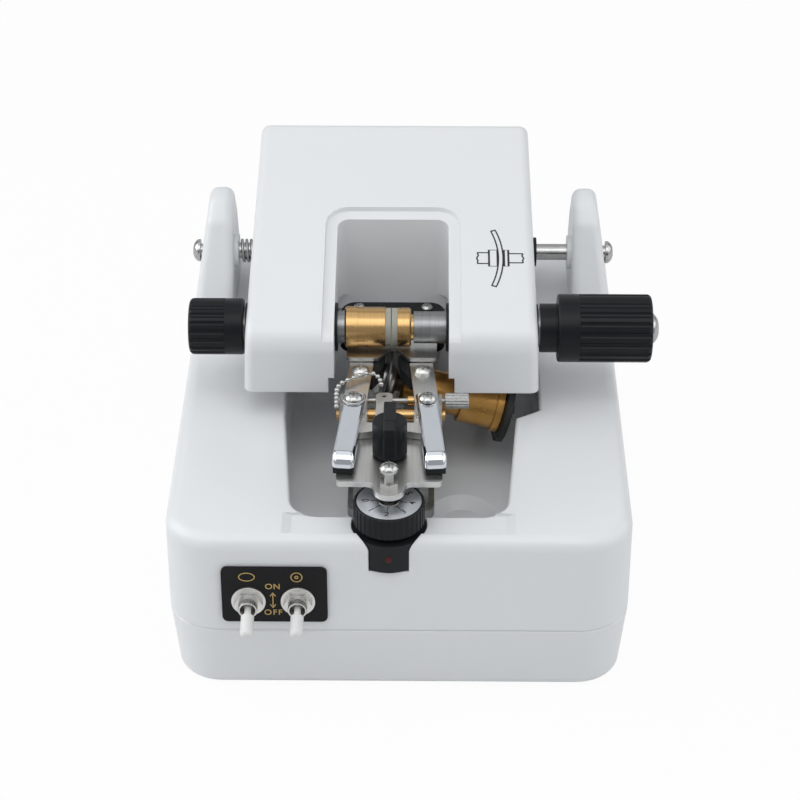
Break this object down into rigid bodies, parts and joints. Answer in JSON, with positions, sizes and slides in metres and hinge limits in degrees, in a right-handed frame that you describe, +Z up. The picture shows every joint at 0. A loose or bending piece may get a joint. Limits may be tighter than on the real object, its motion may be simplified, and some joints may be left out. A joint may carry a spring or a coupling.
{
  "type": "lens groover",
  "caption": "Bench machine that cuts a groove round the edge of a spectacle lens held between two chucks in a tilting head over a small wheel.",
  "frame": {"origin": "on the table under the middle of the base, in the plane of the four feet's undersides", "axes": "+Z up, +X to the right of a person who faces the switches, +Y towards the back"},
  "size_m": [0.1624, 0.2031, 0.121],
  "materials": {
    "white_abs": "moulded gloss",
    "black_panel": "fine matte print",
    "black_knob": "moulded satin gloss",
    "black_nylon": "satin",
    "steel": "satin brushed",
    "chrome": "polished plate",
    "screw_steel": "bright zinc",
    "shaft_grey": "turned steel",
    "brass": "turned",
    "dial_metal": "satin",
    "clear_pad": "clear grey silicone",
    "wheel_steel": "fine ground",
    "rubber": "matte",
    "white_sleeve": "smooth",
    "white_base": "moulded",
    "cast_grey": "cast",
    "motor_case": "plain"
  },
  "bodies": {
    "root": {"base_tray": "white_abs", "upper_housing": "white_abs", "rubber_feet": "rubber", "base_screws": "screw_steel", "switch_panel": "black_panel", "toggle_switches": "screw_steel", "power_inlet": "black_nylon", "transformer": "motor_case", "pivot_rod": "screw_steel", "pivot_spring": "screw_steel", "mechanism_base": "cast_grey", "wheel_motor": "motor_case", "drive_belt": "rubber", "spindle_housing": "brass", "well_cover": "black_nylon", "cover_screws": "screw_steel", "fork_plate": "steel", "dial_holder": "black_nylon", "guide_pin": "brass"},
    "head": {"head_cover": "white_abs", "head_base": "white_base", "head_bushes": "black_nylon", "lens_motor": "motor_case", "lens_belts": "rubber"},
    "left_spindle": {"left_knob": "black_knob", "left_shaft": "shaft_grey", "left_chuck": "brass", "left_pad": "clear_pad"},
    "right_spindle": {"right_sleeve": "shaft_grey"},
    "clamp_knob": {"right_knob": "black_knob", "clamp_end_screw": "screw_steel"},
    "clamp_shaft": {"right_shaft": "shaft_grey", "right_chuck": "brass", "right_pad": "clear_pad"},
    "lens_drive": {"lens_motor_shaft": "cast_grey"},
    "wheel_spindle": {"wheel_spindle": "wheel_steel", "wheel_hub": "steel", "grooving_wheel": "wheel_steel"},
    "wheel_drive": {"motor_pulley": "cast_grey"},
    "dial": {"dial_knob": "black_knob", "dial_face": "dial_metal"},
    "plunger": {"dial_plunger": "steel"},
    "guide_frame": {"guide_plate": "steel", "limit_screw": "screw_steel"},
    "selector": {"mode_knob": "black_knob"},
    "adjuster": {"adjuster": "steel"},
    "carriage": {"guide_carriage": "steel", "carriage_nut": "brass", "arm_pivot_screws": "screw_steel", "bead_chain": "screw_steel", "chain_tag": "steel"},
    "left_arm": {"left_arm_bar": "chrome", "left_arm_lever": "steel", "left_guide_block": "black_nylon"},
    "right_arm": {"right_arm_bar": "chrome", "right_arm_lever": "steel", "right_guide_block": "black_nylon"},
    "lens_switch": {"lens_switch_lever": "white_sleeve"},
    "wheel_switch": {"wheel_switch_lever": "white_sleeve"}
  },
  "joints": [
    {"name": "head_tilt", "type": "hinge", "parent": "root", "child": "head", "pos_m": [0, 0.0575, 0.0805], "axis": [-1, 0, 0], "range_deg": [0, 29]},
    {"name": "lens_spin", "type": "hinge", "parent": "head", "child": "left_spindle", "pos_m": [-0.0031, -0.0075, 0.088], "axis": [1, 0, 0], "continuous": true},
    {"name": "right_spin", "type": "hinge", "parent": "head", "child": "right_spindle", "pos_m": [-0.0031, -0.0075, 0.088], "axis": [1, 0, 0], "continuous": true},
    {"name": "drive_spin", "type": "hinge", "parent": "head", "child": "lens_drive", "pos_m": [-0.0031, 0.0475, 0.098], "axis": [1, 0, 0], "continuous": true},
    {"name": "clamp_turn", "type": "hinge", "parent": "right_spindle", "child": "clamp_knob", "pos_m": [-0.0031, -0.0075, 0.088], "axis": [1, 0, 0], "range_deg": [0, 900.5]},
    {"name": "clamp_slide", "type": "slide", "parent": "right_spindle", "child": "clamp_shaft", "axis": [1, 0, 0], "range_m": [0, 0.01]},
    {"name": "wheel_spin", "type": "hinge", "parent": "root", "child": "wheel_spindle", "pos_m": [-0.0057, -0.0075, 0.067], "axis": [0.9703, 0, -0.2419], "continuous": true},
    {"name": "wheel_drive_spin", "type": "hinge", "parent": "root", "child": "wheel_drive", "pos_m": [0.02953, 0.0535, 0.0376], "axis": [0.9703, 0, -0.2419], "continuous": true},
    {"name": "dial_turn", "type": "hinge", "parent": "root", "child": "dial", "pos_m": [-0.0031, -0.0821, 0.065], "axis": [0, 0, 1], "range_deg": [-212.5, 85]},
    {"name": "plunger_slide", "type": "slide", "parent": "root", "child": "plunger", "axis": [0, 0, 1], "range_m": [-0.00024, 0.0006]},
    {"name": "guide_tilt", "type": "hinge", "parent": "root", "child": "guide_frame", "pos_m": [-0.0031, -0.0365, 0.0715], "axis": [-1, 0, 0], "range_deg": [-0.3, 0.75]},
    {"name": "selector_turn", "type": "hinge", "parent": "guide_frame", "child": "selector", "pos_m": [-0.0031, -0.0635, 0.08], "axis": [0, 0, 1], "range_deg": [-45, 45]},
    {"name": "adjuster_turn", "type": "hinge", "parent": "guide_frame", "child": "adjuster", "pos_m": [-0.0031, -0.0332, 0.0751], "axis": [1, 0, 0], "range_deg": [-360.5, 360.5]},
    {"name": "carriage_slide", "type": "slide", "parent": "guide_frame", "child": "carriage", "axis": [1, 0, 0], "range_m": [-0.0007, 0.0007]},
    {"name": "left_arm_turn", "type": "hinge", "parent": "carriage", "child": "left_arm", "pos_m": [-0.0152, -0.0422, 0.078], "axis": [0, 0, 1], "range_deg": [0, 9]},
    {"name": "right_arm_turn", "type": "hinge", "parent": "carriage", "child": "right_arm", "pos_m": [0.009, -0.0422, 0.078], "axis": [0, 0, 1], "range_deg": [-9, 0]},
    {"name": "lens_switch_turn", "type": "hinge", "parent": "root", "child": "lens_switch", "pos_m": [-0.0479, -0.0959, 0.038], "axis": [-1, 0, 0], "range_deg": [0, 34]},
    {"name": "wheel_switch_turn", "type": "hinge", "parent": "root", "child": "wheel_switch", "pos_m": [-0.0321, -0.0959, 0.038], "axis": [-1, 0, 0], "range_deg": [0, 34]}
  ],
  "couplings": [
    {"joint": "right_spin", "follows": "lens_spin", "ratio": 1},
    {"joint": "drive_spin", "follows": "lens_spin", "ratio": 1},
    {"joint": "clamp_turn", "follows": "clamp_slide", "rad_per_m": 1570.8},
    {"joint": "wheel_drive_spin", "follows": "wheel_spin", "ratio": 1.9032},
    {"joint": "plunger_slide", "follows": "dial_turn", "m_per_rad": -0.00015915},
    {"joint": "guide_tilt", "follows": "dial_turn", "ratio": -0.0034902},
    {"joint": "adjuster_turn", "follows": "carriage_slide", "rad_per_m": 8976},
    {"joint": "right_arm_turn", "follows": "left_arm_turn", "ratio": -1}
  ]
}
